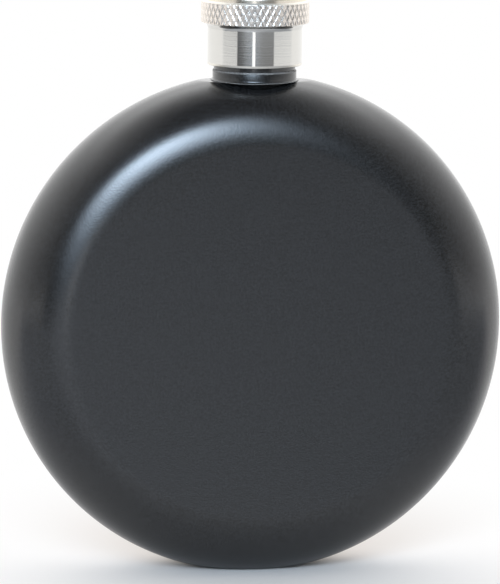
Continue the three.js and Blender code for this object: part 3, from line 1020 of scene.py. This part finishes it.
class FLASK_OT_cap(bpy.types.Operator):
    """Build the cap's steel shell: crown, diamond knurl, cove and skirt"""

    bl_idname = "flask.cap"
    bl_label = "Cap"

    SHARP = math.radians(13)
    TURNED, KNURLED, CROWN, RIM, TOP, CHAMFER = range(6)  # places in the list of materials

    def execute(self, context):
        settings = context.scene.flask
        cap = settings.cap
        skirt = HEAD_RADIUS - cap.overhang
        groove = HEAD_RADIUS - cap.knurl_depth
        bore = INSERT_HIGH.x + cap.press_gap
        ceiling = CAP_HIGH.z - cap.top_wall
        knurl_top = CAP_HIGH.z - cap.crown
        knurl_bottom = knurl_top - cap.knurl_height
        cove = groove - skirt
        edge = cap.skirt_edge
        drawn_in = cap.rim_height * math.tan(cap.rim_lean)
        rim = (skirt - bore) - edge - drawn_in
        columns = TOOTH_COLUMNS * cap.knurl_teeth
        row_step = 2 * cap.knurl_row / TOOTH_COLUMNS
        rows = math.floor(cap.knurl_height / row_step)
        knurl_height = np.concatenate([[knurl_bottom], knurl_top - row_step * np.arange(rows, 0, -1)])
        inside = profile(
            (bore, ceiling),
            (bore, CAP_LOW.z + rim / 2),
            (bore + rim / 2, CAP_LOW.z),
            arc(skirt - drawn_in - edge, CAP_LOW.z + edge, edge, -90, -math.degrees(cap.rim_lean)),
            (skirt, CAP_LOW.z + edge + cap.rim_height),
        )
        rim_rows = len(inside)
        before = profile(inside, arc(groove, knurl_bottom - cove, cove, 180, 90))
        crown_radius = HEAD_RADIUS - cap.crown_step
        top_edge = CAP_HIGH.z - cap.crown_dome
        dome = np.linspace(1, 0, ARC_POINTS)[:-1] * (crown_radius - cap.crown_edge)
        dome_height = CAP_HIGH.z - cap.crown_dome * (dome / dome[0]) ** 2
        after = profile(
            (groove, knurl_top),
            (crown_radius, knurl_top + cap.crown_chamfer),
            arc(crown_radius - cap.crown_edge, top_edge - cap.crown_edge, cap.crown_edge, 0, 90),
            np.stack([dome, dome_height], -1)[1:],
        )
        knurl = np.stack([np.full(len(knurl_height), groove), knurl_height], -1)[1:]
        whole = profile(before, knurl, after)
        crown_row = len(before) + len(knurl)
        radius, height = whole[:, :1], whole[:, 1:]
        tooth = cap.knurl_teeth * turns(columns) / FULL_TURN
        climb = (height - knurl_top + cap.knurl_first_row) / (2 * cap.knurl_row)
        cut = np.maximum(self.groove_share(tooth + climb, cap), self.groove_share(tooth - climb, cap))
        chamfer = np.minimum(height - knurl_bottom, knurl_top - height)
        raised = np.clip(np.minimum(cap.knurl_depth * (1 - cut), chamfer), 0, None)
        grid = turned(radius + raised, height, columns)
        points, quads, fans = closed_on_axis(grid, ceiling, CAP_HIGH.z)
        triangles = split_by_radius(quads, np.hypot(points[:, 0], points[:, 1]))
        finish = settings.finish
        # Lit copies of one steel: the knurl, crown, rim and chamfer colours are painted highlight and painted
        # warm reflection
        steels = (
            ("turned_steel", finish.steel, finish.steel_roughness, 1.0),
            ("knurled_steel", finish.knurl_steel_painted_warm_highlight, finish.knurl_roughness, 0.0),
            ("crown_steel", finish.crown_steel, finish.crown_roughness, 0.0),
            ("rim_steel", finish.rim_steel, finish.rim_roughness, 0.0),
            # Painted shade: a darker copy of the steel on the flat top
            ("top_steel", finish.top_steel, finish.top_roughness, 0.8),
            ("chamfer_steel", finish.rim_steel, finish.chamfer_roughness, 0.0),
        )
        materials = [steel_material(*steel, finish) for steel in steels]
        faces = [triangles, *fans]
        piece = add_piece(
            "knurled_cap", points, faces, materials, "cap", ["cap_shell"], self.SHARP
        )
        row = np.arange(len(whole) - 1)
        on_top = row >= len(whole) - len(dome)
        on_knurl = row >= len(before) - 1
        on_rim = (row > 1) & (row < rim_rows - 1)
        parts = [on_top, row == crown_row, row >= crown_row, on_knurl, on_rim]
        band = np.select(parts, [self.TOP, self.CHAMFER, self.CROWN, self.KNURLED, self.RIM], self.TURNED)
        walls = np.tile(np.repeat(band, columns), 2)
        paint_faces(piece, np.concatenate([walls, np.repeat([self.TURNED, self.TOP], columns)]))
        return {"FINISHED"}

    @staticmethod
    def groove_share(place, cap):
        """How deep one family of V grooves cuts, from 0 on a tooth's flat to 1 at a groove's bottom. A groove
        lies at each whole number of the place across the family, less a half."""
        across = np.abs(2 * ((place + 0.5) % 1) - 1)
        return np.clip((1 - across - cap.tooth_flat) / (1 - cap.tooth_flat), 0, 1)


class FLASK_OT_insert(bpy.types.Operator):
    """Build the moulded insert with the cap's female thread"""

    bl_idname = "flask.insert"
    bl_label = "Insert"

    LOOK = (0.45, 0.0002, 0.1)  # roughness, size of the grain in metres and translucency

    def execute(self, context):
        settings = context.scene.flask
        cap, neck = settings.cap, settings.neck
        outer = INSERT_HIGH.x
        inner = outer - cap.insert_wall
        ceiling = INSERT_HIGH.z - cap.insert_top
        edge = cap.insert_edge
        before = profile((inner, ceiling))
        thread = thread_wall(inner, DISC_LOW.z - neck.thread_foot / 2, INSERT_LOW.z + edge)
        after = profile(
            arc(inner + edge, INSERT_LOW.z + edge, edge, 180, 270),
            arc(outer - edge, INSERT_LOW.z + edge, edge, 270, 360),
            arc(outer - edge, INSERT_HIGH.z - edge, edge, 0, 90),
        )
        lowest = INSERT_LOW.z + neck.thread_foot / 2
        half_turn_on = SEAT + neck.guide_top + neck.thread_foot / 2 + PITCH / 2
        start = half_turn_on - PITCH * math.floor((half_turn_on - lowest) / PITCH + 1)
        end = DISC_LOW.z - neck.thread_foot
        grid = threaded(before, thread, after[1:], -1, start, end, neck)
        points, quads, fans = closed_on_axis(grid, ceiling, INSERT_HIGH.z)
        look = moulded_material("moulded_plastic", settings.finish.plastic, *self.LOOK)
        add_piece("threaded_insert", points, [quads, *fans], [look], "cap", ["cap_insert"])
        return {"FINISHED"}


class FLASK_OT_disc(bpy.types.Operator):
    """Build the sealing disc, with the ring that the pouring lip has pressed into it"""

    bl_idname = "flask.disc"
    bl_label = "Sealing disc"

    LOOK = (0.6, 0.0003, 0.3)  # roughness, size of the grain in metres and translucency

    def execute(self, context):
        settings = context.scene.flask
        cap, neck = settings.cap, settings.neck
        radius = DISC_HIGH.x
        edge = cap.disc_edge
        root = neck.thread_radius - neck.thread_depth
        lip_middle = (neck.bore_radius + root) / 2
        lip_half = (root - neck.bore_radius) / 2
        out = np.linspace(0, radius - edge, DISC_POINTS)[1:]
        dent = cap.disc_dent * smooth(1 - np.abs(out - lip_middle) / lip_half)
        under = np.stack([out, DISC_LOW.z + dent], -1)
        whole = profile(
            under,
            arc(radius - edge, DISC_LOW.z + edge, edge, -90, 0)[1:],
            arc(radius - edge, DISC_HIGH.z - edge, edge, 0, 90),
        )
        grid = turned(whole[:, :1], whole[:, 1:], TURNED_COLUMNS)
        points, quads, fans = closed_on_axis(grid, DISC_LOW.z, DISC_HIGH.z)
        look = moulded_material("matt_silicone", settings.finish.silicone, *self.LOOK)
        add_piece("sealing_disc", points, [quads, *fans], [look], "seal", ["cap_gasket"])
        return {"FINISHED"}


class FLASK_OT_stage(bpy.types.Operator):
    """Set the floor, the surround, the softbox and the camera"""

    bl_idname = "flask.stage"
    bl_label = "Stage"

    def execute(self, context):
        stage = context.scene.flask.stage
        context.scene.view_settings.view_transform = "Standard"
        add_floor(context, stage)
        add_surround(context, stage)
        add_camera(context)
        return {"FINISHED"}


# Panel and registration

OPERATORS = (
    FLASK_OT_stage,
    FLASK_OT_shells,
    FLASK_OT_neck,
    FLASK_OT_neck_weld,
    FLASK_OT_cap,
    FLASK_OT_insert,
    FLASK_OT_disc,
)


class FLASK_PT_panel(bpy.types.Panel):
    """The flask's pieces, sizes and finishes"""

    bl_idname = "FLASK_PT_panel"
    bl_label = "Round hip flask"
    bl_space_type = "VIEW_3D"
    bl_region_type = "UI"
    bl_category = "Flask"

    def draw(self, context):
        for operator in OPERATORS:
            self.layout.operator(operator.bl_idname)
        for part in ("body", "neck", "cap", "finish", "stage"):
            group = getattr(context.scene.flask, part)
            box = self.layout.box()
            box.label(text=part.capitalize())
            for key in group.__annotations__:
                box.prop(group, key, text=key.replace("_", " ").capitalize())


CLASSES = (
    FlaskBody,
    FlaskNeck,
    FlaskCap,
    FlaskFinish,
    FlaskStage,
    FlaskSettings,
    *OPERATORS,
    FLASK_PT_panel,
)


def register():
    """Registers the classes and puts the settings on the scene."""
    for made in CLASSES:
        bpy.utils.register_class(made)
    bpy.types.Scene.flask = PointerProperty(type=FlaskSettings)


def unregister():
    """Takes the settings and the classes away again."""
    del bpy.types.Scene.flask
    for made in reversed(CLASSES):
        bpy.utils.unregister_class(made)


def main():
    """Builds the stage and every piece."""
    register()
    bpy.ops.flask.stage()
    bpy.ops.flask.shells()
    bpy.ops.flask.neck()
    bpy.ops.flask.neck_weld()
    bpy.ops.flask.cap()
    bpy.ops.flask.insert()
    bpy.ops.flask.disc()


if __name__ == "__main__":
    main()
